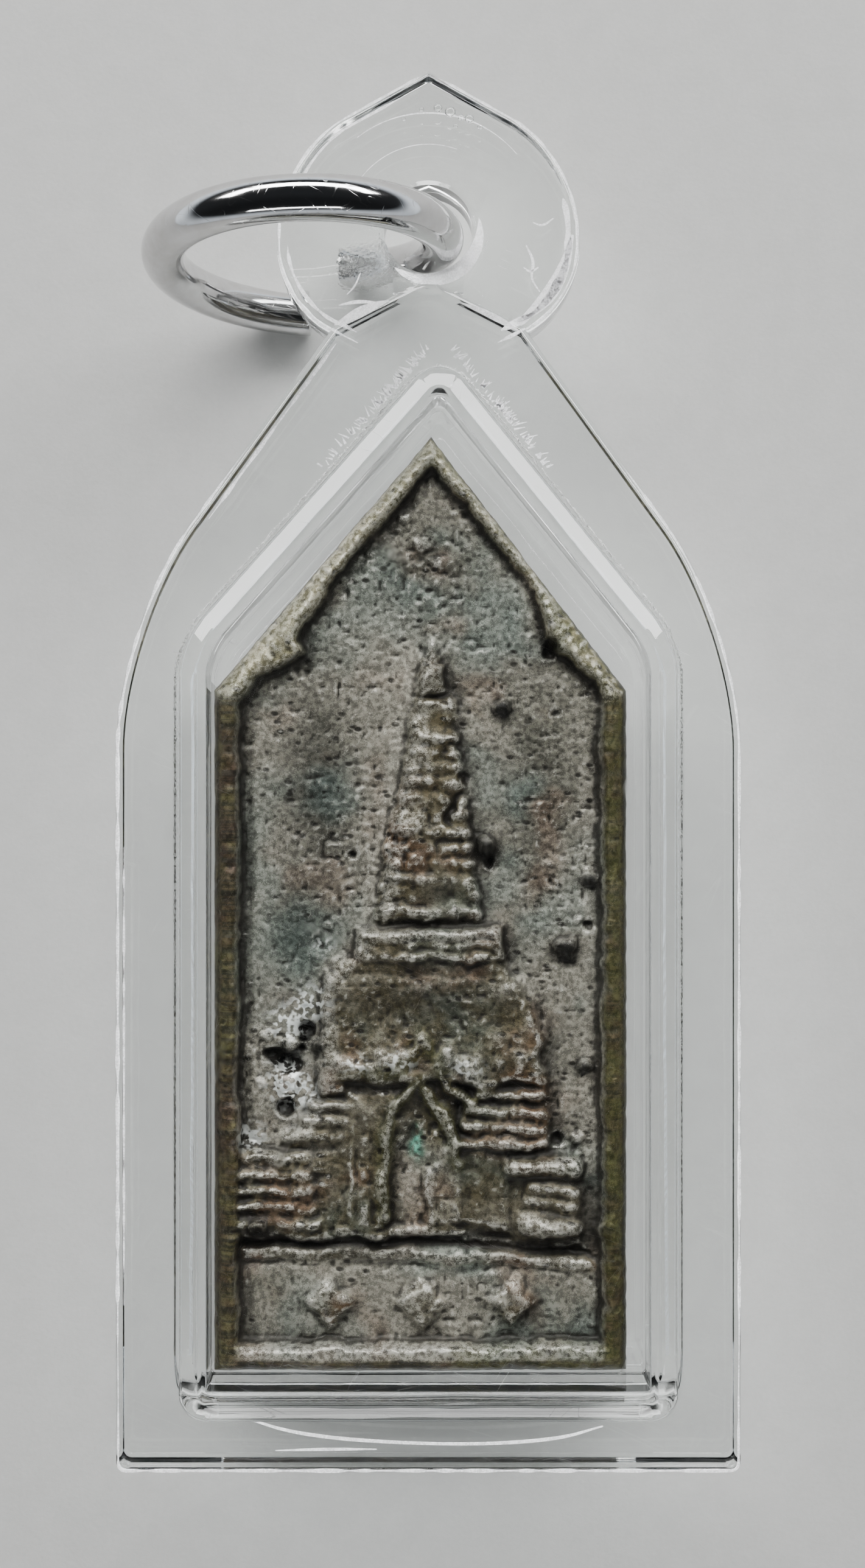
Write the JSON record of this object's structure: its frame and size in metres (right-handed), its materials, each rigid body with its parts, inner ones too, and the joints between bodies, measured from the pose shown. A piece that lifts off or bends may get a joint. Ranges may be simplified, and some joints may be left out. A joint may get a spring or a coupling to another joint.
{
  "type": "cased votive plaque pendant",
  "caption": "Cast metal votive plaque with a stupa in relief, sealed in a clear acrylic case with a leaf-shaped tab and a steel split ring for a necklace chain.",
  "frame": {"origin": "middle of the pendant's outline, on the surface that its back lies on", "axes": "+Z out of the pendant's front, +Y from the case towards the tab, +X to the right as the front is looked at"},
  "size_m": [0.023, 0.0516, 0.0117],
  "materials": {
    "acrylic_back": "clear polished acrylic",
    "acrylic_front": "clear polished acrylic with fine scratches",
    "cast_bronze": "rough cast, dark grey-brown patina",
    "polished_steel": "polished"
  },
  "bodies": {
    "root": {"case_back": "acrylic_back", "case_front": "acrylic_front", "plaque": "cast_bronze", "ring": "polished_steel"}
  },
  "joints": []
}
